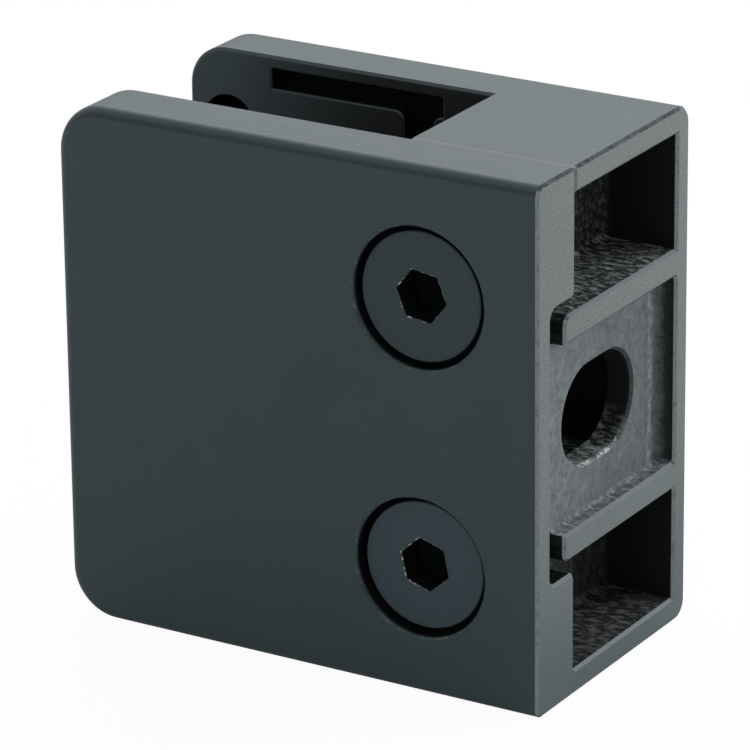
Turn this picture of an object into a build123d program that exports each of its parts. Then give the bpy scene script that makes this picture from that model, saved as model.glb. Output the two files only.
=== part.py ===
"""Glass panel clamp: a hollow die-cast body with one jaw, a cover plate as the other jaw, and two screws.

The origin is the centre of the bolt slot on the mounting face. +X points out of that face into the
post, -Y towards the cover plate and +Z up. The glass stands in the gap with its middle plane at Y = 0.
"""
import os
from math import cos, radians, sin

from build123d import *

# Outline and jaws
CLAMP_WIDTH = 45.0  # mounting face to the cover's tip
CLAMP_HEIGHT = 45.0
GLASS_GAP = 13.0
REAR_JAW_THICKNESS = 6.0
REAR_JAW_SETBACK = 0.7  # rear jaw's tip behind the cover's
REAR_CORNER_RADIUS = 3.6  # the two tip corners, in side view
REAR_FACE_ROUND = 1.6  # outline of the outer face
COVER_THICKNESS = 6.0
COVER_CORNER_RADIUS = 4.2
COVER_FACE_ROUND = 1.0
COVER_SEAM_ROUND = 0.45  # outline of the cover's inner face
BODY_SEAM_BREAK = 0.15  # chamfer along the block's edges under the cover
EDGE_BREAK = 0.25  # chamfer of all other edges that a hand can reach
CUT_MARGIN = 1.0  # how far an open-ended cut runs past the face it opens in

# Hollow mounting block
BLOCK_LENGTH = 15.0  # mounting face to the bottom of the glass gap
POCKET_DEPTH = 6.8
POCKET_WALL = 2.2  # above the upper pocket and below the lower one
REAR_WALL = 2.0  # behind the pockets and the web recess
POCKET_ROUND = 0.8
RIB_THICKNESS = 2.4
WEB_HEIGHT = 16.2  # between the two ribs
WEB_RECESS = 1.5  # web behind the mounting face
WEB_THICKNESS = 2.25
WEB_ROUND = 1.2  # hollow corner between web and rear wall
RIB_ROUND = 0.4  # hollow corners between web and ribs
RIB_NOSE_ROUND = 0.8  # outer corner of the ribs' front ends

# Bolt that holds the clamp on its post, free to shift sideways in its slot
BOLT_DIAMETER = 8.0
BOLT_CLEARANCE = 0.4
BOLT_SHIFT = 3.2
BOLT_HEAD_WIDTH = 13.0
BOLT_HEAD_CLEARANCE = 1.0

# Notch in the cover, over the front ends of the web and the ribs
NOTCH_WALL = 2.15  # what is left of the cover in front of the notch
NOTCH_CLEARANCE = 1.2  # above and below the ribs
NOTCH_ROUND = 0.9  # hollow corners of the notch
PAD_ROUND = 0.5  # corners beside the notch
TONGUE_CLEARANCE = 0.25  # web to the wall of the notch, in front and behind
RIB_SETBACK = 2.0  # rib ends behind the front end of the web

# Countersunk hexagon socket screws
SCREW_DIAMETER = 6.0
SCREW_LENGTH = 16.0
SCREW_POINT = 0.8
SCREW_WALL = 1.5  # metal between bolt cavity and screw thread
THREAD_CLEARANCE = 0.05
SCREW_HOLE_CLEARANCE = 0.2
SCREW_HOLE_SPARE = 2.0  # blind hole past the screw's end
HEAD_DIAMETER = 10.9
HEAD_LAND = 0.1
UPPER_HEAD_RECESS = 0.6  # heads below the cover's front face
LOWER_HEAD_RECESS = 0.85
HEAD_BORE_DIAMETER = 12.0  # bore in which each head sinks
HEAD_BORE_DEPTH = 1.0  # below the head's top, where the conical seat starts
HEAD_BORE_BREAK = 0.15  # chamfer of the bore's rim
SEAT_CLEARANCE = 0.06  # between the cones of head and seat, along the radius
SOCKET_WIDTH = 4.0  # across flats
SOCKET_DEPTH = 2.6
SOCKET_TIP = 0.8  # conical floor of the socket
UPPER_SOCKET_TURN = 52.0
LOWER_SOCKET_TURN = 42.0

# Seat for a rubber insert on the inner face of each jaw
SEAT_DEPTH = 1.6
SEAT_LIP = 1.05  # jaw edge to groove
SEAT_GROOVE = 1.8
SEAT_TIP_MARGIN = 8.1  # rear jaw's tip to the groove's closed end
SEAT_ROOT_MARGIN = 4.65  # bottom of the glass gap to the groove's corner
SEAT_STOP = 0.95  # step that narrows the upright run of the groove
SEAT_UPRIGHT = 2.8
SEAT_ROUND = 0.8
SEAT_BREAK = 0.15  # chamfer along the groove
PEG_DIAMETER = 5.0
PEG_DEPTH = 2.5
PEG_TIP_MARGIN = 3.8  # rear jaw's tip to peg centre
PEG_EDGE_MARGIN = 6.5  # jaw edge to peg centre

# Places that follow from the sizes above
half_height = CLAMP_HEIGHT / 2
half_gap = GLASS_GAP / 2
rear_jaw_length = CLAMP_WIDTH - REAR_JAW_SETBACK
rear_face = half_gap + REAR_JAW_THICKNESS
front_face = half_gap + COVER_THICKNESS
recess_rear = rear_face - REAR_WALL
rib_inner = WEB_HEIGHT / 2
rib_outer = rib_inner + RIB_THICKNESS
pocket_top = half_height - POCKET_WALL
pocket_middle = (pocket_top + rib_outer) / 2
tongue_length = WEB_RECESS + WEB_THICKNESS
notch_floor = front_face - NOTCH_WALL
web_reach = notch_floor - TONGUE_CLEARANCE
rib_reach = web_reach - RIB_SETBACK
cavity_half = (BOLT_HEAD_WIDTH + BOLT_HEAD_CLEARANCE) / 2
cavity_rear = cavity_half + BOLT_SHIFT / 2
bolt_slot_width = BOLT_DIAMETER + BOLT_CLEARANCE
screw_radius = SCREW_DIAMETER / 2
screw_x = -(POCKET_DEPTH + BLOCK_LENGTH) / 2
screw_z = cavity_half + SCREW_WALL + screw_radius
head_radius = HEAD_DIAMETER / 2
seat_radius = head_radius + HEAD_LAND - HEAD_BORE_DEPTH + SEAT_CLEARANCE
head_recesses = {screw_z: UPPER_HEAD_RECESS, -screw_z: LOWER_HEAD_RECESS}


def jaw_outline(length, corner_radius):
    """Side view of a jaw, with the two corners of its tip rounded."""
    outline = Rectangle(length, CLAMP_HEIGHT, align=(Align.MAX, Align.CENTER))
    fillet(outline.vertices().group_by(Axis.X)[0], corner_radius)


def insert_groove():
    """Groove along the jaw's top, root and bottom that takes the rim of a rubber insert."""
    groove_left = SEAT_TIP_MARGIN - rear_jaw_length
    groove_right = -BLOCK_LENGTH - SEAT_ROOT_MARGIN
    stop_left = groove_right - SEAT_STOP
    island_right = stop_left - SEAT_UPRIGHT
    groove_height = CLAMP_HEIGHT - 2 * SEAT_LIP
    island_height = groove_height - 2 * SEAT_GROOVE
    with Locations(((groove_left + groove_right) / 2, 0)):
        Rectangle(groove_right - groove_left, groove_height)
    with Locations((island_right, 0)):
        RectangleRounded(
            2 * (island_right - groove_left + SEAT_ROUND),
            island_height,
            SEAT_ROUND,
            align=(Align.MAX, Align.CENTER),
            mode=Mode.SUBTRACT,
        )
    with Locations((stop_left, 0)):
        RectangleRounded(
            2 * (SEAT_STOP + SEAT_ROUND),
            island_height,
            SEAT_ROUND,
            align=(Align.MIN, Align.CENTER),
            mode=Mode.SUBTRACT,
        )


def insert_pegs():
    """Round holes near the jaw tips that take the pegs of a rubber insert."""
    peg_x = PEG_TIP_MARGIN - rear_jaw_length
    peg_z = half_height - PEG_EDGE_MARGIN
    with Locations((peg_x, peg_z), (peg_x, -peg_z)):
        Circle(PEG_DIAMETER / 2)


with BuildPart() as body:
    # Rear jaw over the full outline, its outer face rounded except at the post
    with BuildSketch(Plane.XZ.offset(-rear_face)):
        jaw_outline(rear_jaw_length, REAR_CORNER_RADIUS)
    extrude(amount=REAR_JAW_THICKNESS)
    fillet(body.faces().sort_by(Axis.Y)[-1].edges().sort_by(Axis.X)[:-1], REAR_FACE_ROUND)

    # Mounting block between the jaw and the cover
    with BuildSketch(Plane.XZ.offset(-half_gap)):
        Rectangle(BLOCK_LENGTH, CLAMP_HEIGHT, align=(Align.MAX, Align.CENTER))
    extrude(amount=GLASS_GAP)
    chamfer(body.faces().sort_by(Axis.Y)[0].edges().filter_by(Axis.X), BODY_SEAM_BREAK)
    jaw_tip_edges = body.faces().filter_by(Axis.Y).sort_by(Axis.Y)[1].edges().sort_by(Axis.X)[:-1]
    gap_root_edges = body.faces().filter_by(Axis.X).sort_by(Axis.X)[1].edges().filter_by(Axis.Y)
    chamfer(jaw_tip_edges + gap_root_edges, EDGE_BREAK)

    # Tongue on the block's front: rib ends, and the web reaching further than the ribs
    with BuildSketch(Plane.XZ.offset(half_gap)):
        Rectangle(tongue_length, 2 * rib_outer, align=(Align.MAX, Align.CENTER))
    extrude(amount=rib_reach - half_gap)
    fillet(body.faces().sort_by(Axis.Y)[0].edges().filter_by(Axis.X), RIB_NOSE_ROUND)
    with BuildSketch(Plane.XZ.offset(rib_reach)):
        Rectangle(tongue_length, 2 * rib_inner, align=(Align.MAX, Align.CENTER))
    extrude(amount=RIB_SETBACK)

    # Upper and lower pocket, open to the post and to the cover
    with BuildSketch(Plane.YZ):
        with Locations((recess_rear, pocket_middle), (recess_rear, -pocket_middle)):
            Rectangle(
                recess_rear + half_gap + CUT_MARGIN,
                pocket_top - rib_outer,
                align=(Align.MAX, Align.CENTER),
            )
    extrude(amount=-POCKET_DEPTH, mode=Mode.SUBTRACT)
    for height in (pocket_middle, -pocket_middle):
        pocket_end = body.faces().sort_by_distance((-POCKET_DEPTH, 0, height))[0]
        fillet(pocket_end.edges().sort_by(Axis.Y)[1:], POCKET_ROUND)

    # Web recess between the ribs, open to the cover, with a hollow corner at the rear wall
    with BuildSketch(Plane.YZ):
        with Locations((recess_rear, 0)):
            Rectangle(
                recess_rear + web_reach + CUT_MARGIN,
                WEB_HEIGHT,
                align=(Align.MAX, Align.CENTER),
            )
    extrude(amount=-WEB_RECESS, mode=Mode.SUBTRACT)
    web = body.faces().sort_by_distance((-WEB_RECESS, 0, 0))[0]
    fillet(web.edges().sort_by(Axis.Y)[-1], WEB_ROUND)
    web = body.faces().sort_by_distance((-WEB_RECESS, 0, 0))[0]
    fillet(web.edges().filter_by(Axis.Y).sort_by(SortBy.LENGTH)[-2:], RIB_ROUND)

    # Room for the bolt's head, open to the glass gap and to the cover
    with BuildSketch(Plane.YZ.offset(-tongue_length)):
        with Locations((cavity_rear, 0)):
            Rectangle(
                cavity_rear + half_gap + CUT_MARGIN,
                2 * cavity_half,
                align=(Align.MAX, Align.CENTER),
            )
    extrude(amount=tongue_length - BLOCK_LENGTH, mode=Mode.SUBTRACT)

    # Slot through the web for the bolt
    with BuildSketch(Plane.YZ):
        SlotOverall(bolt_slot_width + BOLT_SHIFT, bolt_slot_width)
    extrude(amount=-tongue_length - CUT_MARGIN, mode=Mode.SUBTRACT)
    beside_slot = (rib_inner + bolt_slot_width / 2) / 2
    web = body.faces().sort_by_distance((-WEB_RECESS, 0, beside_slot))[0]
    chamfer(web.inner_wires().edges(), EDGE_BREAK)

    # Edges that meet the post
    chamfer(body.faces().filter_by(Axis.X).sort_by(Axis.X)[-1].edges(), EDGE_BREAK)

    # Blind holes for the two screws
    for height, head_recess in head_recesses.items():
        screw_reach = head_recess + SCREW_LENGTH - COVER_THICKNESS
        with Locations(Plane.XZ.offset(half_gap)):
            with Locations((screw_x, height)):
                Hole(screw_radius + THREAD_CLEARANCE, screw_reach + SCREW_HOLE_SPARE)

    # Seat for the rear insert
    with BuildSketch(Plane.XZ.offset(-half_gap)):
        insert_groove()
    extrude(amount=-SEAT_DEPTH, mode=Mode.SUBTRACT)
    jaw_face = body.faces().sort_by_distance((-CLAMP_WIDTH / 2, half_gap, 0))[0]
    chamfer(jaw_face.inner_wires().edges(), SEAT_BREAK)
    with BuildSketch(Plane.XZ.offset(-half_gap)):
        insert_pegs()
    extrude(amount=-PEG_DEPTH, mode=Mode.SUBTRACT)

with BuildPart() as cover_plate:
    # Plate with the same outline as the rear jaw, its front face rounded except at the post
    with BuildSketch(Plane.XZ.offset(half_gap)):
        jaw_outline(CLAMP_WIDTH, COVER_CORNER_RADIUS)
    extrude(amount=COVER_THICKNESS)
    fillet(cover_plate.faces().sort_by(Axis.Y)[0].edges().sort_by(Axis.X)[:-1], COVER_FACE_ROUND)
    fillet(cover_plate.faces().sort_by(Axis.Y)[-1].edges().sort_by(Axis.X)[:-1], COVER_SEAM_ROUND)

    # Notch in the inner face that fits over the body's tongue
    with BuildSketch(Plane.YZ):
        with Locations((-notch_floor, 0)):
            notch = Rectangle(
                notch_floor - half_gap + CUT_MARGIN,
                2 * (rib_outer + NOTCH_CLEARANCE),
                align=(Align.MIN, Align.CENTER),
            )
        fillet(notch.vertices().group_by(Axis.X)[0], NOTCH_ROUND)
    extrude(amount=-tongue_length - TONGUE_CLEARANCE, mode=Mode.SUBTRACT)
    pad_edges = cover_plate.faces().sort_by(Axis.Y)[-1].edges().filter_by(Axis.X)
    fillet(pad_edges.sort_by(lambda edge: abs(edge.center().Z))[:2], PAD_ROUND)
    chamfer(cover_plate.faces().filter_by(Axis.X).sort_by(Axis.X)[-1].edges(), EDGE_BREAK)

    # Stepped holes for the two screws: a bore for the head, a conical seat and a clear way for the thread
    for height, head_recess in head_recesses.items():
        bore_depth = head_recess + HEAD_BORE_DEPTH
        with Locations(Plane.XZ.offset(front_face)):
            with Locations((screw_x, height)):
                Hole(HEAD_BORE_DIAMETER / 2, bore_depth)
        with Locations(Plane.XZ.offset(front_face - bore_depth)):
            with Locations((screw_x, height)):
                CounterSinkHole(
                    screw_radius + SCREW_HOLE_CLEARANCE,
                    seat_radius,
                    counter_sink_angle=90,
                )
    chamfer(cover_plate.faces().sort_by(Axis.Y)[0].inner_wires().edges(), HEAD_BORE_BREAK)

    # Seat for the front insert
    with BuildSketch(Plane.XZ.offset(half_gap)):
        insert_groove()
    extrude(amount=SEAT_DEPTH, mode=Mode.SUBTRACT)
    jaw_face = cover_plate.faces().sort_by_distance((-CLAMP_WIDTH / 2, -half_gap, 0))[0]
    chamfer(jaw_face.inner_wires().edges(), SEAT_BREAK)
    with BuildSketch(Plane.XZ.offset(half_gap)):
        insert_pegs()
    extrude(amount=PEG_DEPTH, mode=Mode.SUBTRACT)


def make_screw(height, socket_turn):
    """Countersunk screw in its place in the cover, with its hexagon socket turned as it was tightened."""
    head_top = Vector(screw_x, head_recesses[height] - front_face, height)
    cone_end = HEAD_LAND + head_radius - screw_radius
    with BuildPart() as screw:
        with BuildSketch(Plane(head_top, x_dir=(1, 0, 0), z_dir=(0, 0, 1))):
            with BuildLine():
                Polyline(
                    (0, 0),
                    (head_radius, 0),
                    (head_radius, HEAD_LAND),
                    (screw_radius, cone_end),
                    (screw_radius, SCREW_LENGTH - SCREW_POINT),
                    (screw_radius - SCREW_POINT, SCREW_LENGTH),
                    (0, SCREW_LENGTH),
                    close=True,
                )
            make_face()
        revolve(axis=Axis(head_top, (0, 1, 0)))
        socket_x = (cos(radians(socket_turn)), 0, sin(radians(socket_turn)))
        with BuildSketch(Plane(head_top, x_dir=socket_x, z_dir=(0, -1, 0))):
            RegularPolygon(SOCKET_WIDTH / 2, 6, major_radius=False)
        extrude(amount=-SOCKET_DEPTH, mode=Mode.SUBTRACT)
        with Locations(Plane(head_top + Vector(0, SOCKET_DEPTH, 0), z_dir=(0, 1, 0))):
            Cone(
                SOCKET_WIDTH / 2,
                0,
                SOCKET_TIP,
                align=(Align.CENTER, Align.CENTER, Align.MIN),
                mode=Mode.SUBTRACT,
            )
    return screw.part


upper_screw = make_screw(screw_z, UPPER_SOCKET_TURN)
lower_screw = make_screw(-screw_z, LOWER_SOCKET_TURN)

os.makedirs("parts", exist_ok=True)
pieces = {
    "body": body.part,
    "cover_plate": cover_plate.part,
    "upper_screw": upper_screw,
    "lower_screw": lower_screw,
}
for name, piece in pieces.items():
    piece.label = name
    export_step(piece, f"parts/{name}.step")
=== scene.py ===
"""Glass panel clamp, dressed: a die-cast body with a screwed cover, all in a matt anthracite coating."""
import math

import bmesh
import bpy
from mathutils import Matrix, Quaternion, Vector


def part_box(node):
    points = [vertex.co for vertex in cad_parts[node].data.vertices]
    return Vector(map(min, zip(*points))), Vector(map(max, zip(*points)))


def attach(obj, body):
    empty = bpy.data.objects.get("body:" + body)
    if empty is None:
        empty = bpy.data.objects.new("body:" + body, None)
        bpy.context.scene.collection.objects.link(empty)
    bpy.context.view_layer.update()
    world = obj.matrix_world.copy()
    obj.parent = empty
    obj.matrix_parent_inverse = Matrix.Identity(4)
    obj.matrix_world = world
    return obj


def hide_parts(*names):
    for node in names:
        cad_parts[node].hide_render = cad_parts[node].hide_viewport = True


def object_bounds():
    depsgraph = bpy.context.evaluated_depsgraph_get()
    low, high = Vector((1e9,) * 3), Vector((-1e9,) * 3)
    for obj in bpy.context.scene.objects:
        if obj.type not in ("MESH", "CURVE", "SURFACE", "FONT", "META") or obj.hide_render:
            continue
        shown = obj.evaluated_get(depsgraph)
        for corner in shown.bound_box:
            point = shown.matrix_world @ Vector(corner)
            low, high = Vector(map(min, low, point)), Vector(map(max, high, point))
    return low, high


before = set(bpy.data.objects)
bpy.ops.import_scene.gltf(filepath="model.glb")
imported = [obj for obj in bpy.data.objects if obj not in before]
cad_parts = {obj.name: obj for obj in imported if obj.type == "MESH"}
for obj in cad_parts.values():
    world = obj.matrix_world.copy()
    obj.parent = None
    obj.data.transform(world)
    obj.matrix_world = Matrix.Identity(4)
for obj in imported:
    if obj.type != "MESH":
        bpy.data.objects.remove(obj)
cad_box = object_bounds()

# Body. A hollow block with the rear jaw in one piece, die cast in zinc alloy and held to a post by a bolt
# through the slot in its web. Its outer faces were ground along the clamp's width before coating; the
# pockets and the bolt cavity keep the skin of the mould.
MM = 0.001
OUTER_WALL = 2.0 * MM
GAP_BOTTOM = -15 * MM
JAW_FACE = 6.5 * MM
WEB_FRONT = -1.5 * MM
RIB_LEVEL = 9 * MM
SLOT_HALF = 4.45 * MM
BROKEN_EDGE = 0.25 * MM
WELD_DISTANCE = 0.001 * MM
FLAT_ANGLE = math.radians(0.5)
CRISP_ANGLE = math.radians(40)
SLANT = math.radians(30)
# How an edge is marked: about a half for pale specks of wear, 1 for a pale line, more for bare metal,
# less than 0 for painted shade, a darker edge. The pale lines and bare metal are partly painted
# highlights.
EDGE_PAINTED_SHADE = -1.0
SLOT_RUB = 0.52
RIM_WEAR_AND_HIGHLIGHT = 0.8
SEAM_WEAR_AND_HIGHLIGHT = 1.6


def linear(hex_colour):
    """An sRGB colour such as "#2b3134" as the linear RGBA that shaders take."""
    channels = [int(hex_colour[i : i + 2], 16) / 255 for i in (1, 3, 5)]
    return [c / 12.92 if c <= 0.04045 else ((c + 0.055) / 1.055) ** 2.4 for c in channels] + [1.0]


def add_node(tree, kind, inputs=None, **settings):
    """A new node: settings are its own properties, inputs are values or the outputs to link from."""
    node = tree.nodes.new(kind)
    for name, value in settings.items():
        setattr(node, name, value)
    for name, value in (inputs or {}).items():
        if isinstance(value, bpy.types.NodeSocket):
            tree.links.new(value, node.inputs[name])
        else:
            node.inputs[name].default_value = value
    return node


def new_material(name):
    """An empty node material and its tree."""
    material = bpy.data.materials.new(name)
    material.use_nodes = True
    material.node_tree.nodes.clear()
    return material, material.node_tree


def smooth_neighbours(first, angle, edges=None):
    """The face and those reached from it over edges that bend less than the angle."""
    reached = [first]
    for face in reached:
        for edge in edges or face.edges:
            if face in edge.link_faces and edge.calc_face_angle(math.pi) < angle:
                reached += [other for other in edge.link_faces if other not in reached]
    return reached


def corner_normals(work):
    """A direction for each face's corner: the mean of the faces that meet smoothly there, by area."""
    areas = {}
    for face in work.faces:
        if face not in areas:
            flat = smooth_neighbours(face, FLAT_ANGLE)
            areas.update(dict.fromkeys(flat, sum(part.calc_area() for part in flat)))
    normals = []
    for face in work.faces:
        for corner in face.loops:
            around = smooth_neighbours(face, CRISP_ANGLE, corner.vert.link_edges)
            normals.append(sum((part.normal * areas[part] for part in around), Vector()).normalized())
    return normals


def slanted(face):
    """Whether a face stands well off all three axes, as a chamfer along an edge does."""
    return max(abs(part) for part in face.normal) < math.cos(SLANT)


def merged_copy(node_name, piece_name):
    """A CAD node's shape as one closed mesh whose flats shade flat, with its mounting edges marked."""
    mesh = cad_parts[node_name].data.copy()
    mesh.materials.clear()
    work = bmesh.new()
    work.from_mesh(mesh)
    bmesh.ops.remove_doubles(work, verts=work.verts, dist=WELD_DISTANCE)
    bmesh.ops.dissolve_limit(work, angle_limit=FLAT_ANGLE, verts=work.verts, edges=work.edges)
    edge_marks = work.faces.layers.float.new("edge_wear_and_painted_light")
    work.normal_update()
    edge_depth = BROKEN_EDGE + WELD_DISTANCE
    for face in work.faces:
        if slanted(face) and all(corner.co.x > cad_box[1].x - edge_depth for corner in face.verts):
            # Pale wear specks on rim chamfers that face the front, partly a painted highlight.
            if abs(face.normal.z) < math.sin(SLANT) and face.normal.y < 0:
                face[edge_marks] = RIM_WEAR_AND_HIGHLIGHT
            # Painted shade on the chamfers along the top and bottom of the mounting side.
            elif all(abs(corner.co.z) > cad_box[1].z - edge_depth for corner in face.verts):
                face[edge_marks] = EDGE_PAINTED_SHADE
    normals = corner_normals(work)
    work.to_mesh(mesh)
    work.free()
    mesh.shade_smooth()
    mesh.set_sharp_from_angle(angle=CRISP_ANGLE)
    mesh.normals_split_custom_set(normals)
    piece = bpy.data.objects.new(piece_name, mesh)
    bpy.context.scene.collection.objects.link(piece)
    return piece


# Matt powder coating, sprayed over ground metal: even and dull, with the grinding showing through as faint
# lines on the top and bottom, thinned to a grey speckle on the mounting side, painted darker lower down as
# painted shade, and rubbed pale on edges, partly as painted highlights. Painted shade darkens the jaws'
# gap and the mounting side's top and bottom edges, and a painted dark reflection lies along the round of
# the cover's upper edge.
# The lines are drawn coarser than real ones, so that they show.
coat, tree = new_material("matt_anthracite_powder_coat")
GRIND_WIDTH = 0.35 * MM
GRIND_LENGTH = 30 * GRIND_WIDTH
GRAIN_SIZE = 0.22 * MM
MOTTLE_SIZE = 7 * MM
EDGE_MARK_SIZE = 0.5 * MM
MOUNTING_SHADE_BELOW = -19 * MM
MOUNTING_LIT_ABOVE = -5 * MM
coordinates = add_node(tree, "ShaderNodeTexCoord")
place = coordinates.outputs["Object"]
where = add_node(tree, "ShaderNodeSeparateXYZ", {"Vector": place})
facing = add_node(tree, "ShaderNodeSeparateXYZ", {"Vector": coordinates.outputs["Normal"]})
along_grind = add_node(
    tree,
    "ShaderNodeMapping",
    {"Vector": place, "Scale": (GRIND_WIDTH / GRIND_LENGTH, 1, 1)},
)
grind = add_node(
    tree,
    "ShaderNodeTexNoise",
    {"Vector": along_grind.outputs["Vector"], "Scale": 1 / GRIND_WIDTH, "Detail": 3.0, "Roughness": 0.6},
)
grain = add_node(
    tree,
    "ShaderNodeTexNoise",
    {"Vector": place, "Scale": 1 / GRAIN_SIZE, "Detail": 3.0, "Roughness": 0.8},
)
mottle = add_node(tree, "ShaderNodeTexNoise", {"Vector": place, "Scale": 1 / MOTTLE_SIZE, "Detail": 3.0})
level = add_node(tree, "ShaderNodeMath", {0: facing.outputs["Z"]}, operation="ABSOLUTE")
ground_face = add_node(
    tree,
    "ShaderNodeMapRange",
    {"Value": level.outputs[0], "From Min": 0.85, "From Max": 0.99},
)
colour = add_node(
    tree,
    "ShaderNodeMix",
    {"Factor": mottle.outputs["Fac"], "A": linear("#2d3c40"), "B": linear("#334246")},
    data_type="RGBA",
)
lines = add_node(
    tree,
    "ShaderNodeMapRange",
    {"Value": grind.outputs["Fac"], "From Min": 0.3, "From Max": 0.7, "To Min": 0.0, "To Max": 0.4},
)
lines_here = add_node(
    tree,
    "ShaderNodeMath",
    {0: lines.outputs["Result"], 1: ground_face.outputs["Result"]},
    operation="MULTIPLY",
)
lined = add_node(
    tree,
    "ShaderNodeMix",
    {"Factor": lines_here.outputs[0], "A": colour.outputs["Result"], "B": linear("#47565b")},
    data_type="RGBA",
)
mounting_face = add_node(
    tree,
    "ShaderNodeMapRange",
    {"Value": facing.outputs["X"], "From Min": 0.85, "From Max": 0.99},
)
speckle = add_node(
    tree,
    "ShaderNodeMapRange",
    {"Value": grain.outputs["Fac"], "From Min": 0.35, "From Max": 0.65, "To Min": 0.15, "To Max": 1.0},
)
# Painted shade: the grey speckle fades towards the bottom, so the mounting side is darker lower down.
painted_light_above = add_node(
    tree,
    "ShaderNodeMapRange",
    {
        "Value": where.outputs["Z"],
        "From Min": MOUNTING_SHADE_BELOW,
        "From Max": MOUNTING_LIT_ABOVE,
        "To Min": 0.2,
    },
)
thinning_and_shade = add_node(
    tree,
    "ShaderNodeMath",
    {0: painted_light_above.outputs["Result"], 1: mounting_face.outputs["Result"]},
    operation="MULTIPLY",
)
speckle_here = add_node(
    tree,
    "ShaderNodeMath",
    {0: speckle.outputs["Result"], 1: thinning_and_shade.outputs[0]},
    operation="MULTIPLY",
)
thinned_and_shaded = add_node(
    tree,
    "ShaderNodeMix",
    {"Factor": speckle_here.outputs[0], "A": lined.outputs["Result"], "B": linear("#5f6462")},
    data_type="RGBA",
)
# Painted shade: the jaws' inner faces are painted darker towards the bottom of the gap, where shade falls.
GAP_MARGIN = 0.05 * MM
BLOCK_MARGIN = 0.1 * MM
GAP_UNSHADED_UNTIL = -41 * MM
GAP_SHADED_FROM = -27 * MM
from_middle = add_node(tree, "ShaderNodeMath", {0: where.outputs["Y"]}, operation="ABSOLUTE")
in_gap = add_node(
    tree,
    "ShaderNodeMath",
    {0: from_middle.outputs[0], 1: JAW_FACE + GAP_MARGIN},
    operation="LESS_THAN",
)
gap_shade_depth = add_node(
    tree,
    "ShaderNodeMapRange",
    {
        "Value": where.outputs["X"],
        "From Min": GAP_UNSHADED_UNTIL,
        "From Max": GAP_SHADED_FROM,
        "To Max": 0.9,
    },
)
outside_block = add_node(
    tree,
    "ShaderNodeMath",
    {0: where.outputs["X"], 1: GAP_BOTTOM + BLOCK_MARGIN},
    operation="LESS_THAN",
)
gap_here = add_node(
    tree,
    "ShaderNodeMath",
    {0: in_gap.outputs[0], 1: outside_block.outputs[0]},
    operation="MULTIPLY",
)
gap_shade_share = add_node(
    tree,
    "ShaderNodeMath",
    {0: gap_here.outputs[0], 1: gap_shade_depth.outputs["Result"]},
    operation="MULTIPLY",
)
gap_shaded = add_node(
    tree,
    "ShaderNodeMix",
    {"Factor": gap_shade_share.outputs[0], "A": thinned_and_shaded.outputs["Result"], "B": linear("#07090a")},
    data_type="RGBA",
)
# A painted dark reflection along the round of the cover's upper edge, a shade darker.
FACES_FRONT = -0.6
round_start = add_node(
    tree,
    "ShaderNodeMapRange",
    {"Value": facing.outputs["Z"], "From Min": 0.15, "From Max": 0.35, "To Max": 0.6},
)
round_end = add_node(
    tree,
    "ShaderNodeMapRange",
    {"Value": facing.outputs["Z"], "From Min": 0.7, "From Max": 0.45},
)
on_round = add_node(
    tree,
    "ShaderNodeMath",
    {0: round_start.outputs["Result"], 1: round_end.outputs["Result"]},
    operation="MULTIPLY",
)
on_front = add_node(
    tree,
    "ShaderNodeMath",
    {0: facing.outputs["Y"], 1: FACES_FRONT},
    operation="LESS_THAN",
)
dark_reflection_share = add_node(
    tree,
    "ShaderNodeMath",
    {0: on_round.outputs[0], 1: on_front.outputs[0]},
    operation="MULTIPLY",
)
dark_reflected = add_node(
    tree,
    "ShaderNodeMix",
    {"Factor": dark_reflection_share.outputs[0], "A": gap_shaded.outputs["Result"], "B": linear("#10181b")},
    data_type="RGBA",
)
# Marks on the edges: pale wear, bare where it went through the coat, partly painted highlights on the rims
# and the seam; painted shade, dark, where the mark is below 0.
edge_marks = add_node(tree, "ShaderNodeAttribute", attribute_name="edge_wear_and_painted_light")
edge_mark_noise = add_node(
    tree,
    "ShaderNodeTexNoise",
    {"Vector": place, "Scale": 1 / EDGE_MARK_SIZE, "Detail": 5.0, "Roughness": 0.7},
)
mark_reach = add_node(tree, "ShaderNodeMath", {0: edge_mark_noise.outputs["Fac"], 1: edge_marks.outputs["Fac"]})
pale_mark = add_node(
    tree,
    "ShaderNodeMapRange",
    {"Value": mark_reach.outputs[0], "From Min": 1.0, "From Max": 1.3, "To Max": 0.8},
)
pale_marked = add_node(
    tree,
    "ShaderNodeMix",
    {"Factor": pale_mark.outputs["Result"], "A": dark_reflected.outputs["Result"], "B": linear("#7f8587")},
    data_type="RGBA",
)
bare_and_highlight = add_node(
    tree,
    "ShaderNodeMapRange",
    {"Value": mark_reach.outputs[0], "From Min": 1.6, "From Max": 2.0},
)
bare_and_highlighted = add_node(
    tree,
    "ShaderNodeMix",
    {"Factor": bare_and_highlight.outputs["Result"], "A": pale_marked.outputs["Result"], "B": linear("#b2b8b9")},
    data_type="RGBA",
)
painted_edge_shade = add_node(
    tree,
    "ShaderNodeMapRange",
    {"Value": mark_reach.outputs[0], "From Min": -0.25, "From Max": -0.65, "To Max": 0.85},
)
edge_shaded = add_node(
    tree,
    "ShaderNodeMix",
    {"Factor": painted_edge_shade.outputs["Result"], "A": bare_and_highlighted.outputs["Result"], "B": linear("#05090a")},
    data_type="RGBA",
)
line_depth = add_node(
    tree,
    "ShaderNodeMath",
    {0: grind.outputs["Fac"], 1: ground_face.outputs["Result"]},
    operation="MULTIPLY",
)
relief = add_node(
    tree,
    "ShaderNodeBump",
    {"Height": line_depth.outputs[0], "Strength": 0.35, "Distance": 0.03 * MM},
)
peel = add_node(
    tree,
    "ShaderNodeBump",
    {
        "Height": grain.outputs["Fac"],
        "Strength": 0.25,
        "Distance": 0.02 * MM,
        "Normal": relief.outputs["Normal"],
    },
)
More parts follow.
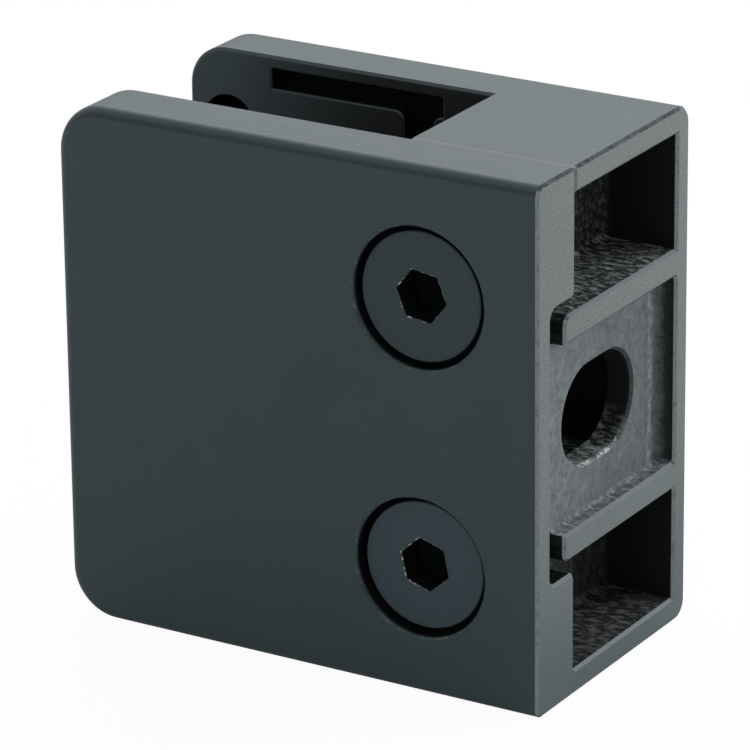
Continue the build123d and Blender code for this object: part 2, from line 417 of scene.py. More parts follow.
dullness = add_node(
    tree,
    "ShaderNodeMapRange",
    {"Value": grain.outputs["Fac"], "To Min": 0.46, "To Max": 0.58},
)
edge_dullness = add_node(
    tree,
    "ShaderNodeMix",
    {"Factor": painted_edge_shade.outputs["Result"], "A": dullness.outputs["Result"], "B": 1.0},
)
surface = add_node(
    tree,
    "ShaderNodeBsdfPrincipled",
    {
        "Base Color": edge_shaded.outputs["Result"],
        "Roughness": edge_dullness.outputs["Result"],
        "Normal": peel.outputs["Normal"],
        "IOR": 1.45,
        "Specular IOR Level": 0.35,
    },
)
add_node(tree, "ShaderNodeOutputMaterial", {"Surface": surface.outputs["BSDF"]})

# Mould skin under a thin, uneven coat: grey on the web, which the sprayer could face, painted nearly black
# and dull down the pockets as painted shade, with pale scuffs and flow marks on the floors, partly painted
# highlights.
shaded_skin, tree = new_material("cast_skin_with_painted_shade")
LUMP_SIZE = 0.5 * MM
LUMP_STRETCH = 2
BLOTCH_SIZE = 0.9 * MM
coordinates = add_node(tree, "ShaderNodeTexCoord")
place = coordinates.outputs["Object"]
where = add_node(tree, "ShaderNodeSeparateXYZ", {"Vector": place})
facing = add_node(tree, "ShaderNodeSeparateXYZ", {"Vector": coordinates.outputs["Normal"]})
along_pocket = add_node(tree, "ShaderNodeMapping", {"Vector": place, "Scale": (1 / LUMP_STRETCH, 1, 1)})
lumps = add_node(
    tree,
    "ShaderNodeTexNoise",
    {"Vector": along_pocket.outputs["Vector"], "Scale": 1 / LUMP_SIZE, "Detail": 6.0, "Roughness": 0.7},
)
blotches = add_node(
    tree,
    "ShaderNodeTexNoise",
    {"Vector": place, "Scale": 1 / BLOTCH_SIZE, "Detail": 5.0, "Roughness": 0.85},
)
# Grey where the web lies open between the ribs, in patches; painted shade darkens faces turned from the
# light, and painted light makes the web paler towards the cover.
WEB_MARGIN = 0.05 * MM
COAT_INTO_SLOT = 0.6 * MM
WEB_LIT_BEFORE = -5 * MM
WEB_SHADED_BEHIND = 1 * MM
shallow = add_node(
    tree,
    "ShaderNodeMapRange",
    {
        "Value": where.outputs["X"],
        "From Min": WEB_FRONT - COAT_INTO_SLOT,
        "From Max": WEB_FRONT - WEB_MARGIN,
    },
)
height = add_node(tree, "ShaderNodeMath", {0: where.outputs["Z"]}, operation="ABSOLUTE")
between_ribs = add_node(
    tree,
    "ShaderNodeMath",
    {0: height.outputs[0], 1: RIB_LEVEL},
    operation="LESS_THAN",
)
open_web = add_node(
    tree,
    "ShaderNodeMath",
    {0: shallow.outputs["Result"], 1: between_ribs.outputs[0]},
    operation="MULTIPLY",
)
web_grey = add_node(
    tree,
    "ShaderNodeMapRange",
    {"Value": blotches.outputs["Fac"], "From Min": 0.35, "From Max": 0.65, "To Min": 0.45, "To Max": 1.0},
)
outward = add_node(
    tree,
    "ShaderNodeMath",
    {0: facing.outputs["X"], 1: facing.outputs["Z"]},
    operation="MAXIMUM",
)
ragged = add_node(
    tree,
    "ShaderNodeMath",
    {0: blotches.outputs["Fac"], 1: 0.8, 2: outward.outputs[0]},
    operation="MULTIPLY_ADD",
)
lit_facing_patches = add_node(
    tree,
    "ShaderNodeMapRange",
    {"Value": ragged.outputs[0], "From Min": 0.9, "From Max": 1.3, "To Min": 0.12},
)
lit_open_web = add_node(
    tree,
    "ShaderNodeMath",
    {0: open_web.outputs[0], 1: lit_facing_patches.outputs["Result"]},
    operation="MULTIPLY",
)
painted_light_near_cover = add_node(
    tree,
    "ShaderNodeMapRange",
    {
        "Value": where.outputs["Y"],
        "From Min": WEB_SHADED_BEHIND,
        "From Max": WEB_LIT_BEFORE,
        "To Min": 0.74,
    },
)
coated_and_lit_web = add_node(
    tree,
    "ShaderNodeMath",
    {0: painted_light_near_cover.outputs["Result"], 1: lit_open_web.outputs[0]},
    operation="MULTIPLY",
)
web_share = add_node(
    tree,
    "ShaderNodeMath",
    {0: web_grey.outputs["Result"], 1: coated_and_lit_web.outputs[0]},
    operation="MULTIPLY",
)
# Painted shade: all but the open web is painted nearly black.
colour = add_node(
    tree,
    "ShaderNodeMix",
    {"Factor": web_share.outputs[0], "A": linear("#101213"), "B": linear("#626a6d")},
    data_type="RGBA",
)
# A painted highlight: a pale upright streak on the web, by the rear wall, where the web rounds up into it.
WEB_HIGHLIGHT_PLACE = 8.8 * MM
STREAK_HALF = 0.6 * MM
STREAK_CORE = 0.1 * MM
past_streak = add_node(
    tree,
    "ShaderNodeMath",
    {0: where.outputs["Y"], 1: WEB_HIGHLIGHT_PLACE},
    operation="SUBTRACT",
)
from_streak = add_node(tree, "ShaderNodeMath", {0: past_streak.outputs[0]}, operation="ABSOLUTE")
streak_here = add_node(
    tree,
    "ShaderNodeMapRange",
    {"Value": from_streak.outputs[0], "From Min": STREAK_HALF, "From Max": STREAK_CORE},
)
streak_patches = add_node(
    tree,
    "ShaderNodeMapRange",
    {"Value": blotches.outputs["Fac"], "From Min": 0.42, "From Max": 0.68, "To Max": 0.45},
)
streak_reach = add_node(
    tree,
    "ShaderNodeMath",
    {0: streak_here.outputs["Result"], 1: streak_patches.outputs["Result"]},
    operation="MULTIPLY",
)
web_highlight = add_node(
    tree,
    "ShaderNodeMath",
    {0: streak_reach.outputs[0], 1: open_web.outputs[0]},
    operation="MULTIPLY",
)
web_highlighted = add_node(
    tree,
    "ShaderNodeMix",
    {"Factor": web_highlight.outputs[0], "A": colour.outputs["Result"], "B": linear("#9aa0a2")},
    data_type="RGBA",
)
# Scuffs on the floors, fainter on the pockets' ends and in the lower pocket; their pale is partly painted
# highlight on faces turned up to the light, and the fainting in the lower pocket is painted shade.
LOWER_POCKET_SHADE_BELOW = -12 * MM
LOWER_POCKET_LIT_ABOVE = -9 * MM
POCKET_MOUTH = -3 * MM
POCKET_END = -5 * MM
floor_face = add_node(
    tree,
    "ShaderNodeMapRange",
    {"Value": facing.outputs["Z"], "From Min": 0.4, "From Max": 0.9},
)
scuffs = add_node(
    tree,
    "ShaderNodeMapRange",
    {"Value": lumps.outputs["Fac"], "From Min": 0.47, "From Max": 0.63, "To Min": 0.02, "To Max": 1.0},
)
shaded_below = add_node(
    tree,
    "ShaderNodeMapRange",
    {
        "Value": where.outputs["Z"],
        "From Min": LOWER_POCKET_SHADE_BELOW,
        "From Max": LOWER_POCKET_LIT_ABOVE,
        "To Min": 0.4,
    },
)
end_face = add_node(
    tree,
    "ShaderNodeMapRange",
    {"Value": facing.outputs["X"], "From Min": 0.4, "From Max": 0.9, "To Max": 0.3},
)
end_depth = add_node(
    tree,
    "ShaderNodeMapRange",
    {"Value": where.outputs["X"], "From Min": POCKET_MOUTH, "From Max": POCKET_END},
)
scuffed_end = add_node(
    tree,
    "ShaderNodeMath",
    {0: end_face.outputs["Result"], 1: end_depth.outputs["Result"]},
    operation="MULTIPLY",
)
open_face = add_node(
    tree,
    "ShaderNodeMath",
    {0: floor_face.outputs["Result"], 1: scuffed_end.outputs[0]},
)
scuffed_face = add_node(
    tree,
    "ShaderNodeMath",
    {0: open_face.outputs[0], 1: shaded_below.outputs["Result"]},
    operation="MULTIPLY",
)
scuff_and_highlight_share = add_node(
    tree,
    "ShaderNodeMath",
    {0: scuffs.outputs["Result"], 1: scuffed_face.outputs[0]},
    operation="MULTIPLY",
)
scuffed_and_lit = add_node(
    tree,
    "ShaderNodeMix",
    {"Factor": scuff_and_highlight_share.outputs[0], "A": web_highlighted.outputs["Result"], "B": linear("#8b9193")},
    data_type="RGBA",
)
edge_marks = add_node(tree, "ShaderNodeAttribute", attribute_name="edge_wear_and_painted_light")
mark_reach = add_node(tree, "ShaderNodeMath", {0: blotches.outputs["Fac"], 1: edge_marks.outputs["Fac"]})
pale_mark = add_node(
    tree,
    "ShaderNodeMapRange",
    {"Value": mark_reach.outputs[0], "From Min": 1.0, "From Max": 1.15, "To Max": 0.9},
)
pale_marked = add_node(
    tree,
    "ShaderNodeMix",
    {"Factor": pale_mark.outputs["Result"], "A": scuffed_and_lit.outputs["Result"], "B": linear("#c3c7c8")},
    data_type="RGBA",
)
relief = add_node(
    tree,
    "ShaderNodeBump",
    {"Height": lumps.outputs["Fac"], "Strength": 0.6, "Distance": 0.12 * MM},
)
surface = add_node(
    tree,
    "ShaderNodeBsdfPrincipled",
    {
        "Base Color": pale_marked.outputs["Result"],
        "Roughness": 0.7,
        "Normal": relief.outputs["Normal"],
        "IOR": 1.45,
        "Specular IOR Level": 0.2,
    },
)
add_node(tree, "ShaderNodeOutputMaterial", {"Surface": surface.outputs["BSDF"]})

# Painted shade down the holes, seats and sockets: a nearly black, dull sheet where there is only shade,
# but for a band of coat in the mouths of the screw holes.
bore_shade, tree = new_material("painted_shade_in_bores")
TURNING_SIZE = 0.4 * MM
COATED_TO = 0.25 * MM
SHADE_FROM = 0.5 * MM
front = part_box("cover_plate")[0].y
place = add_node(tree, "ShaderNodeTexCoord").outputs["Object"]
turning = add_node(tree, "ShaderNodeTexNoise", {"Vector": place, "Scale": 1 / TURNING_SIZE, "Detail": 3.0})
colour = add_node(
    tree,
    "ShaderNodeMix",
    {"Factor": turning.outputs["Fac"], "A": linear("#07090a"), "B": linear("#131617")},
    data_type="RGBA",
)
into_hole = add_node(tree, "ShaderNodeSeparateXYZ", {"Vector": place})
hole_mouth = add_node(
    tree,
    "ShaderNodeMapRange",
    {"Value": into_hole.outputs["Y"], "From Min": front + SHADE_FROM, "From Max": front + COATED_TO},
)
oversprayed = add_node(
    tree,
    "ShaderNodeMix",
    {"Factor": hole_mouth.outputs["Result"], "A": colour.outputs["Result"], "B": linear("#475256")},
    data_type="RGBA",
)
surface = add_node(
    tree,
    "ShaderNodeBsdfPrincipled",
    {
        "Base Color": oversprayed.outputs["Result"],
        "Roughness": 0.75,
        "IOR": 1.45,
        "Specular IOR Level": 0.05,
    },
)
add_node(tree, "ShaderNodeOutputMaterial", {"Surface": surface.outputs["BSDF"]})

SEAT_LIP = 0.5 * MM
TIP_MARGIN = 2.0 * MM
SEAT_MOUTH = 0.2 * MM
SHADED_SKIN_SLOT = 1
BORE_SHADE_SLOT = 2
SEAM_FACES_FRONT = -0.5
SEAM_FACES_UP = 0.5


def in_seat(face, corners):
    """Whether a face lies inside an insert's groove or peg hole, in a jaw's inner face."""
    inside = all(
        cad_box[0].x + TIP_MARGIN < corner.x < GAP_BOTTOM - WELD_DISTANCE
        and abs(corner.z) < cad_box[1].z - SEAT_LIP
        and JAW_FACE - WELD_DISTANCE < abs(corner.y) < cad_box[1].y - OUTER_WALL
        for corner in corners
    )
    return inside and abs(face.center.y) > JAW_FACE + SEAT_MOUTH


body = merged_copy("body", "cast_body")
body.data.materials.append(coat)
body.data.materials.append(shaded_skin)
body.data.materials.append(bore_shade)
body_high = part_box("body")[1]
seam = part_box("cover_plate")[1].y
edge_marking = body.data.attributes["edge_wear_and_painted_light"].data
# The hollows keep the skin of the mould, painted dark in the pockets as painted shade, and the seats are
# painted nearly black as painted shade. The seam with the cover is worn, most on top, where its pale line
# is partly a painted highlight, and the rim of the slot is worn towards its lower end.
for face in body.data.polygons:
    corners = [body.data.vertices[index].co for index in face.vertices]
    in_hollow = all(
        GAP_BOTTOM - WELD_DISTANCE < corner.x < WELD_DISTANCE - BROKEN_EDGE
        and corner.y < body_high.y - OUTER_WALL + WELD_DISTANCE
        and abs(corner.z) < body_high.z - OUTER_WALL
        for corner in corners
    )
    if in_hollow:
        face.material_index = SHADED_SKIN_SLOT
    elif in_seat(face, corners):
        face.material_index = BORE_SHADE_SLOT
    on_seam = all(abs(corner.y - seam) < BROKEN_EDGE for corner in corners)
    on_slot = all(
        abs(corner.x - WEB_FRONT) < BROKEN_EDGE + WELD_DISTANCE
        and abs(corner.z) < SLOT_HALF + WELD_DISTANCE
        for corner in corners
    )
    if on_seam and face.normal.y < SEAM_FACES_FRONT:
        edge_marking[face.index].value = SEAM_WEAR_AND_HIGHLIGHT if face.normal.z > SEAM_FACES_UP else RIM_WEAR_AND_HIGHLIGHT
    elif on_slot and slanted(face):
        edge_marking[face.index].value = SLOT_RUB * max(0.0, -face.center.z / SLOT_HALF)
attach(body, "casting")
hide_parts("body")

# Cover. The front jaw, a loose plate of the same casting alloy and coating, with a notch that fits over
# the body's web and two stepped holes in which the screw heads sink.
SCREW_X = -10.9 * MM
SCREW_Z = 11.5 * MM
BORE_RADIUS = 6.0 * MM
NOTCH_DEPTH = 4.0 * MM
NOTCH_HALF = 11.7 * MM
HOLE_SLOT = 1
HOLE_RUB = 0.5
cover = merged_copy("cover_plate", "front_cover")
cover.data.materials.append(coat)
cover.data.materials.append(bore_shade)
edge_marking = cover.data.attributes["edge_wear_and_painted_light"].data
# The holes, the notch and the seats are painted dark as painted shade, and the rims of the holes are worn
# in specks.
for face in cover.data.polygons:
    corners = [cover.data.vertices[index].co for index in face.vertices]
    reach = max(math.hypot(corner.x - SCREW_X, abs(corner.z) - SCREW_Z) for corner in corners)
    in_hole = reach < BORE_RADIUS + WELD_DISTANCE and all(
        corner.y > front + WELD_DISTANCE for corner in corners
    )
    in_notch = all(
        -NOTCH_DEPTH - WELD_DISTANCE < corner.x < WELD_DISTANCE - BROKEN_EDGE
        and abs(corner.z) < NOTCH_HALF + WELD_DISTANCE
        for corner in corners
    )
    if in_hole or in_notch or in_seat(face, corners):
        face.material_index = HOLE_SLOT
    on_hole_rim = reach < BORE_RADIUS + BROKEN_EDGE and all(
        corner.y < front + BROKEN_EDGE for corner in corners
    )
    if on_hole_rim and slanted(face):
        edge_marking[face.index].value = HOLE_RUB
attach(cover, "cover")
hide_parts("cover_plate")

# Screws. Two M6 countersunk hexagon socket screws of stainless steel, coated with the clamp, that pass
# through the cover into threads in the body. One lathe rule makes both.
COLUMNS = 48
THREAD_ROWS = 100
screw_rule = bpy.data.node_groups.new("countersunk_socket_screw", "GeometryNodeTree")
SCREW_SIZES = {
    "Socket Radius": 2.0 * MM,  # to the flats
    "Socket Depth": 2.6 * MM,
    "Socket Tip": 0.8 * MM,
    "Mouth Break": 0.08 * MM,
    "Head Radius": 5.45 * MM,
    "Head Land": 0.1 * MM,
    "Thread Radius": 3.0 * MM,
    "Thread Pitch": 1.0 * MM,
    "Thread Height": 0.55 * MM,
    "Length": 16.0 * MM,
    "Point": 0.8 * MM,
    "Turn": 0.0,
}
sockets = {}
for name, value in SCREW_SIZES.items():
    sockets[name] = screw_rule.interface.new_socket(name, in_out="INPUT", socket_type="NodeSocketFloat")
sockets["Head Centre"] = screw_rule.interface.new_socket(
    "Head Centre", in_out="INPUT", socket_type="NodeSocketVector"
)
for name in ("Finish", "Socket Shade"):
    sockets[name] = screw_rule.interface.new_socket(name, in_out="INPUT", socket_type="NodeSocketMaterial")
screw_rule.interface.new_socket("Geometry", in_out="OUTPUT", socket_type="NodeSocketGeometry")
given = add_node(screw_rule, "NodeGroupInput").outputs

socket_end = add_node(screw_rule, "ShaderNodeMath", {0: given["Socket Depth"], 1: given["Socket Tip"]})
mouth_radius = add_node(screw_rule, "ShaderNodeMath", {0: given["Socket Radius"], 1: given["Mouth Break"]})
rim_radius = add_node(
    screw_rule,
    "ShaderNodeMath",
    {0: given["Head Radius"], 1: given["Mouth Break"]},
    operation="SUBTRACT",
)
taper = add_node(
    screw_rule,
    "ShaderNodeMath",
    {0: given["Head Radius"], 1: given["Thread Radius"]},
    operation="SUBTRACT",
)
cone_end = add_node(screw_rule, "ShaderNodeMath", {0: given["Head Land"], 1: taper.outputs[0]})
point_start = add_node(
    screw_rule,
    "ShaderNodeMath",
    {0: given["Length"], 1: given["Point"]},
    operation="SUBTRACT",
)
point_radius = add_node(
    screw_rule,
    "ShaderNodeMath",
    {0: given["Thread Radius"], 1: given["Point"]},
    operation="SUBTRACT",
)
# Corners of the section, from the socket's tip over the head to the screw's end:
# rows of faces up to the corner, radius, depth below the head's top, and how hexagonal it is.
section = (
    (1, given["Socket Radius"], given["Socket Depth"], 0.0),
    (1, given["Socket Radius"], given["Socket Depth"], 1.0),
    (1, given["Socket Radius"], given["Mouth Break"], 1.0),
    (1, mouth_radius.outputs[0], 0.0, 1.0),
    (1, rim_radius.outputs[0], 0.0, 0.0),
    (1, given["Head Radius"], given["Mouth Break"], 0.0),
    (1, given["Head Radius"], given["Head Land"], 0.0),
    (1, given["Thread Radius"], cone_end.outputs[0], 0.0),
    (THREAD_ROWS, given["Thread Radius"], point_start.outputs[0], 0.0),
    (1, point_radius.outputs[0], given["Length"], 0.0),
    (1, 0.0, given["Length"], 0.0),
)
rows = sum(corner[0] for corner in section)
sheet = add_node(
    screw_rule,
    "GeometryNodeMeshGrid",
    {"Size X": 1.0, "Size Y": 1.0, "Vertices X": rows + 1, "Vertices Y": COLUMNS + 1},
)
flat_place = add_node(
    screw_rule,
    "ShaderNodeSeparateXYZ",
    {"Vector": add_node(screw_rule, "GeometryNodeInputPosition").outputs[0]},
)
row = add_node(
    screw_rule,
    "ShaderNodeMapRange",
    {"Value": flat_place.outputs["X"], "From Min": -0.5, "From Max": 0.5, "To Max": rows},
)
round_share = add_node(screw_rule, "ShaderNodeMath", {0: flat_place.outputs["Y"], 1: 0.5})
radius = 0.0
depth = socket_end.outputs[0]
hexagonal = 0.0
row_start = 0
for row_count, corner_radius, corner_depth, corner_hexagonal in section:
    step = add_node(
        screw_rule,
        "ShaderNodeMapRange",
        {"Value": row.outputs["Result"], "From Min": row_start, "From Max": row_start + row_count},
    ).outputs["Result"]
    row_start += row_count
    radius = add_node(
        screw_rule,
        "ShaderNodeMix",
        {"Factor": step, "A": radius, "B": corner_radius},
    ).outputs[0]
    depth = add_node(
        screw_rule,
        "ShaderNodeMix",
        {"Factor": step, "A": depth, "B": corner_depth},
    ).outputs[0]
    hexagonal = add_node(
        screw_rule,
        "ShaderNodeMix",
        {"Factor": step, "A": hexagonal, "B": corner_hexagonal},
    ).outputs[0]

# The socket's six flats: the radius grows towards each corner of the hexagon.
sixth = add_node(screw_rule, "ShaderNodeMath", {0: round_share.outputs[0], 1: 6.0}, operation="MULTIPLY")
along_flat = add_node(screw_rule, "ShaderNodeMath", {0: sixth.outputs[0]}, operation="FRACT")
flat_angle = add_node(
    screw_rule,
    "ShaderNodeMapRange",
    {"Value": along_flat.outputs[0], "To Min": -math.pi / 6, "To Max": math.pi / 6},
)
flat_cosine = add_node(screw_rule, "ShaderNodeMath", {0: flat_angle.outputs["Result"]}, operation="COSINE")
stretch = add_node(screw_rule, "ShaderNodeMath", {0: 1.0, 1: flat_cosine.outputs[0]}, operation="DIVIDE")
stretch_here = add_node(
    screw_rule,
    "ShaderNodeMix",
    {"Factor": hexagonal, "A": 1.0, "B": stretch.outputs[0]},
)
radius = add_node(
    screw_rule,
    "ShaderNodeMath",
    {0: radius, 1: stretch_here.outputs[0]},
    operation="MULTIPLY",
).outputs[0]

# A right-hand thread: a groove that goes one pitch deeper with each clockwise turn, and runs out at both
# ends. Its share goes from 0 to a half and back, which the run-in doubles.
turns = add_node(screw_rule, "ShaderNodeMath", {0: depth, 1: given["Thread Pitch"]}, operation="DIVIDE")
phase = add_node(screw_rule, "ShaderNodeMath", {0: turns.outputs[0], 1: round_share.outputs[0]})
groove = add_node(screw_rule, "ShaderNodeMath", {0: phase.outputs[0], 1: 0.5}, operation="PINGPONG")
run_in_end = add_node(screw_rule, "ShaderNodeMath", {0: cone_end.outputs[0], 1: given["Thread Pitch"]})
run_in = add_node(
    screw_rule,
    "ShaderNodeMapRange",
    {"Value": depth, "From Min": cone_end.outputs[0], "From Max": run_in_end.outputs[0], "To Max": 2.0},
)
run_out_start = add_node(
    screw_rule,
    "ShaderNodeMath",
    {0: point_start.outputs[0], 1: given["Thread Pitch"]},
    operation="SUBTRACT",
)
run_out = add_node(
    screw_rule,
    "ShaderNodeMapRange",
    {
        "Value": depth,
        "From Min": run_out_start.outputs[0],
        "From Max": point_start.outputs[0],
        "To Min": 1.0,
        "To Max": 0.0,
    },
)
groove_ends = add_node(
    screw_rule,
    "ShaderNodeMath",
    {0: run_in.outputs["Result"], 1: run_out.outputs["Result"]},
    operation="MULTIPLY",
)
groove_here = add_node(
    screw_rule,
    "ShaderNodeMath",
    {0: groove.outputs[0], 1: groove_ends.outputs[0]},
    operation="MULTIPLY",
)
groove_depth = add_node(
    screw_rule,
    "ShaderNodeMath",
    {0: groove_here.outputs[0], 1: given["Thread Height"]},
    operation="MULTIPLY",
)
radius = add_node(
    screw_rule,
    "ShaderNodeMath",
    {0: radius, 1: groove_depth.outputs[0]},
    operation="SUBTRACT",
).outputs[0]

# The section swept round the screw's axis, which points along +Y into the clamp.
round_angle = add_node(
    screw_rule,
    "ShaderNodeMath",
    {0: round_share.outputs[0], 1: math.tau, 2: given["Turn"]},
    operation="MULTIPLY_ADD",
)
cosine = add_node(screw_rule, "ShaderNodeMath", {0: round_angle.outputs[0]}, operation="COSINE")
sine = add_node(screw_rule, "ShaderNodeMath", {0: round_angle.outputs[0]}, operation="SINE")
across = add_node(screw_rule, "ShaderNodeMath", {0: radius, 1: cosine.outputs[0]}, operation="MULTIPLY")
up = add_node(screw_rule, "ShaderNodeMath", {0: radius, 1: sine.outputs[0]}, operation="MULTIPLY")
round_place = add_node(
    screw_rule,
    "ShaderNodeCombineXYZ",
    {"X": across.outputs[0], "Y": depth, "Z": up.outputs[0]},
)
screw_place = add_node(
    screw_rule,
    "ShaderNodeVectorMath",
    {0: round_place.outputs[0], 1: given["Head Centre"]},
)
SOCKET_ROWS = 3
in_socket = add_node(
    screw_rule,
    "ShaderNodeMath",
    {0: row.outputs["Result"], 1: SOCKET_ROWS},
    operation="LESS_THAN",
)
in_mouth = add_node(
    screw_rule,
    "ShaderNodeMath",
    {0: row.outputs["Result"], 1: SOCKET_ROWS + 0.5, 2: 0.5},
    operation="COMPARE",
)
MOUTH_RUB = 0.5
mouth_rub = add_node(
    screw_rule,
    "ShaderNodeMath",
    {0: in_mouth.outputs[0], 1: MOUTH_RUB},
    operation="MULTIPLY",
)
socket_marked = add_node(
    screw_rule,
    "GeometryNodeStoreNamedAttribute",
    {"Geometry": sheet.outputs["Mesh"], "Name": "in_socket", "Value": in_socket.outputs[0]},
    data_type="BOOLEAN",
    domain="FACE",
)
marked = add_node(
    screw_rule,
    "GeometryNodeStoreNamedAttribute",
    {"Geometry": socket_marked.outputs[0], "Name": "edge_wear_and_painted_light", "Value": mouth_rub.outputs[0]},
    data_type="FLOAT",
    domain="FACE",
)
swept = add_node(
    screw_rule,
    "GeometryNodeSetPosition",
    {"Geometry": marked.outputs[0], "Position": screw_place.outputs[0]},
)
closed = add_node(
    screw_rule,
    "GeometryNodeMergeByDistance",
    {"Geometry": swept.outputs[0], "Distance": WELD_DISTANCE},
)
realized = add_node(screw_rule, "GeometryNodeRealizeInstances", {"Geometry": closed.outputs[0]})
coated = add_node(
    screw_rule,
    "GeometryNodeSetMaterial",
    {"Geometry": realized.outputs[0], "Material": given["Finish"]},
)
socket_faces = add_node(
    screw_rule,
    "GeometryNodeInputNamedAttribute",
    {"Name": "in_socket"},
    data_type="BOOLEAN",
)
# The socket gets the painted shade of the bores, nearly black.
finished = add_node(
    screw_rule,
    "GeometryNodeSetMaterial",
    {
        "Geometry": coated.outputs[0],
        "Selection": socket_faces.outputs["Attribute"],
        "Material": given["Socket Shade"],
    },
)
add_node(screw_rule, "NodeGroupOutput", {"Geometry": finished.outputs[0]})

# Satin coat on steel, a little smoother and darker than on the casting, paler on the lower screw, and
# rubbed in pale specks round the socket.
screw_coat, tree = new_material("satin_coat_on_stainless_steel")
SATIN_GRAIN = 0.3 * MM
place = add_node(tree, "ShaderNodeTexCoord").outputs["Object"]
grain = add_node(tree, "ShaderNodeTexNoise", {"Vector": place, "Scale": 1 / SATIN_GRAIN, "Detail": 2.0})
colour = add_node(
    tree,
    "ShaderNodeMix",
    {"Factor": grain.outputs["Fac"], "A": linear("#2a373c"), "B": linear("#313f44")},
    data_type="RGBA",
)
where = add_node(tree, "ShaderNodeSeparateXYZ", {"Vector": place})
on_lower_screw = add_node(tree, "ShaderNodeMath", {0: where.outputs["Z"], 1: 0.0}, operation="LESS_THAN")
paler_below = add_node(
    tree,
    "ShaderNodeMix",
    {"Factor": on_lower_screw.outputs[0], "A": colour.outputs["Result"], "B": linear("#36454b")},
    data_type="RGBA",
)
edge_marks = add_node(tree, "ShaderNodeAttribute", attribute_name="edge_wear_and_painted_light")
mark_reach = add_node(tree, "ShaderNodeMath", {0: grain.outputs["Fac"], 1: edge_marks.outputs["Fac"]})
pale_mark = add_node(
    tree,
    "ShaderNodeMapRange",
    {"Value": mark_reach.outputs[0], "From Min": 1.05, "From Max": 1.15, "To Max": 0.9},
)
pale_marked = add_node(
    tree,
    "ShaderNodeMix",
    {"Factor": pale_mark.outputs["Result"], "A": paler_below.outputs["Result"], "B": linear("#c3c7c8")},
    data_type="RGBA",
)
relief = add_node(
    tree,
    "ShaderNodeBump",
    {"Height": grain.outputs["Fac"], "Strength": 0.2, "Distance": 0.02 * MM},
)
surface = add_node(
    tree,
    "ShaderNodeBsdfPrincipled",
    {
        "Base Color": pale_marked.outputs["Result"],
        "Roughness": 0.5,
        "Normal": relief.outputs["Normal"],
        "IOR": 1.45,
        "Specular IOR Level": 0.3,
    },
)
add_node(tree, "ShaderNodeOutputMaterial", {"Surface": surface.outputs["BSDF"]})


def plain_mesh(piece):
    """The piece with its modifiers turned into plain mesh."""
    evaluated = piece.evaluated_get(bpy.context.evaluated_depsgraph_get())
    piece.data = bpy.data.meshes.new_from_object(evaluated)
    piece.modifiers.clear()


SOCKET_TURNS = {"upper_screw": math.radians(52), "lower_screw": math.radians(42)}
for name, turn in SOCKET_TURNS.items():
    low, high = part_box(name)
    mesh = bpy.data.meshes.new(name + "_threaded")
    screw = bpy.data.objects.new(name + "_threaded", mesh)
    bpy.context.scene.collection.objects.link(screw)
    lathe = screw.modifiers.new("countersunk_socket_screw", "NODES")
    lathe.node_group = screw_rule
    for size_name, value in SCREW_SIZES.items():
        lathe[sockets[size_name].identifier] = value
    lathe[sockets["Turn"].identifier] = turn
    lathe[sockets["Head Centre"].identifier] = ((low.x + high.x) / 2, low.y, (low.z + high.z) / 2)
    lathe[sockets["Finish"].identifier] = screw_coat
    lathe[sockets["Socket Shade"].identifier] = bore_shade
    plain_mesh(screw)
    screw.data.shade_smooth()
    screw.data.set_sharp_from_angle(angle=CRISP_ANGLE)
    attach(screw, name)
    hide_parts(name)

# Floor. A pale painted studio floor, one large flat sheet on which the clamp stands. It glows for the
# camera, which sees it as white but for the soft shadow.
FLOOR_HALF = 2.0
floor_level = cad_box[0].z
corners = [
    (-FLOOR_HALF, -FLOOR_HALF, floor_level),
    (FLOOR_HALF, -FLOOR_HALF, floor_level),
    (FLOOR_HALF, FLOOR_HALF, floor_level),
    (-FLOOR_HALF, FLOOR_HALF, floor_level),
]
floor_mesh = bpy.data.meshes.new("floor")
floor_mesh.from_pydata(corners, [], [(0, 1, 2, 3)])
floor = bpy.data.objects.new("floor", floor_mesh)
bpy.context.scene.collection.objects.link(floor)
floor_paint, tree = new_material("pale_floor_paint")
SEEN_WHITE = 0.96
MIRRORED_WHITE = 0.2
path = add_node(tree, "ShaderNodeLightPath")
mirrored = add_node(
    tree,
    "ShaderNodeMath",
    {0: path.outputs["Is Glossy Ray"], 1: path.outputs["Is Transmission Ray"]},
    operation="MAXIMUM",
)
mirrored_share = add_node(
    tree,
    "ShaderNodeMath",
    {0: mirrored.outputs[0], 1: MIRRORED_WHITE},
    operation="MULTIPLY",
)
share = add_node(
    tree,
    "ShaderNodeMath",
    {0: path.outputs["Is Camera Ray"], 1: SEEN_WHITE, 2: mirrored_share.outputs[0]},
    operation="MULTIPLY_ADD",
)
paint = add_node(tree, "ShaderNodeBsdfDiffuse", {"Color": linear("#ededed")})
glow = add_node(tree, "ShaderNodeEmission", {"Color": linear("#ffffff"), "Strength": 1.0})
mixed = add_node(
    tree,
    "ShaderNodeMixShader",
    {0: share.outputs[0], 1: paint.outputs[0], 2: glow.outputs[0]},
)
add_node(tree, "ShaderNodeOutputMaterial", {"Surface": mixed.outputs[0]})
floor_mesh.materials.append(floor_paint)

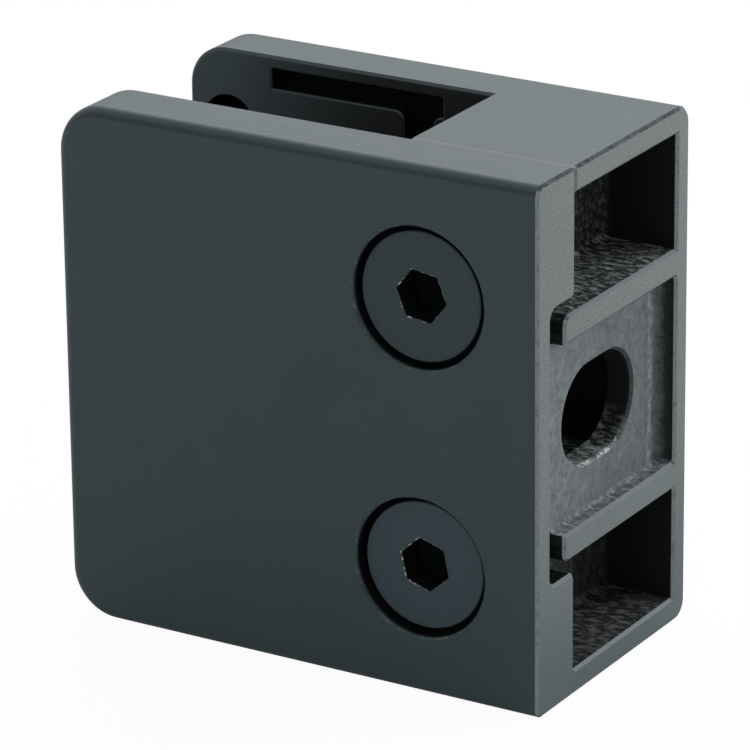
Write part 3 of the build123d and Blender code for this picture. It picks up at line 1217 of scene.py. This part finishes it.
# Light. A white surround, a large soft box high behind the clamp and a smaller one low on its right, as a
# studio table has them.
world = bpy.data.worlds.new("white_surround")
bpy.context.scene.world = world
world.use_nodes = True
world.node_tree.nodes.clear()
tree = world.node_tree
path = add_node(tree, "ShaderNodeLightPath")
seen_or_mirrored = add_node(
    tree,
    "ShaderNodeMath",
    {0: path.outputs["Is Camera Ray"], 1: path.outputs["Is Glossy Ray"]},
    operation="MAXIMUM",
)
seen = add_node(
    tree,
    "ShaderNodeMath",
    {0: seen_or_mirrored.outputs[0], 1: path.outputs["Is Transmission Ray"]},
    operation="MAXIMUM",
)
AMBIENT = 0.55
strength = add_node(
    tree,
    "ShaderNodeMapRange",
    {"Value": seen.outputs[0], "To Min": AMBIENT, "To Max": 1.0},
)
sky = add_node(
    tree,
    "ShaderNodeBackground",
    {"Color": linear("#ffffff"), "Strength": strength.outputs["Result"]},
)
add_node(tree, "ShaderNodeOutputWorld", {"Surface": sky.outputs[0]})

aim = (cad_box[0] + cad_box[1]) / 2


def soft_box(name, direction, distance, width, height, brightness):
    """A flat lamp aimed at the clamp; brightness is the white level of its face."""
    lamp = bpy.data.lights.new(name, "AREA")
    lamp.shape = "RECTANGLE"
    lamp.size = width
    lamp.size_y = height
    lamp.energy = brightness * math.pi * width * height
    box = bpy.data.objects.new(name, lamp)
    towards = Vector(direction).normalized()
    box.location = aim + distance * towards
    box.rotation_mode = "QUATERNION"
    box.rotation_quaternion = (-towards).to_track_quat("-Z", "Y")
    box.visible_camera = False
    bpy.context.scene.collection.objects.link(box)


soft_box(
    "high_back_box",
    direction=(-0.25, 0.66, 0.70),
    distance=0.6,
    width=0.5,
    height=0.4,
    brightness=3.4,
)
soft_box(
    "right_box",
    direction=(0.62, 0.74, 0.26),
    distance=0.6,
    width=0.4,
    height=0.25,
    brightness=12.0,
)

# Camera. A long lens at the photograph's height and turn, level but for a slight roll, and aimed near the
# middle of the clamp.
AZIMUTH = math.radians(31.30)
ELEVATION = math.radians(20.73)
ROLL = math.radians(0.63)
DISTANCE = 432.39 * MM
LENS = 251.73
view_aim = Vector((-22.27, -0.31, -1.03)) * MM
back = Vector(
    (
        math.sin(AZIMUTH) * math.cos(ELEVATION),
        -math.cos(AZIMUTH) * math.cos(ELEVATION),
        math.sin(ELEVATION),
    )
)
lens = bpy.data.cameras.new("camera")
lens.lens = LENS
lens.clip_start = 50 * MM
camera = bpy.data.objects.new("camera", lens)
camera.location = view_aim + DISTANCE * back
camera.rotation_mode = "QUATERNION"
camera.rotation_quaternion = (-back).to_track_quat("-Z", "Y") @ Quaternion((0, 0, 1), -ROLL)
bpy.context.scene.collection.objects.link(camera)
bpy.context.scene.camera = camera
bpy.context.scene.view_settings.view_transform = "Standard"
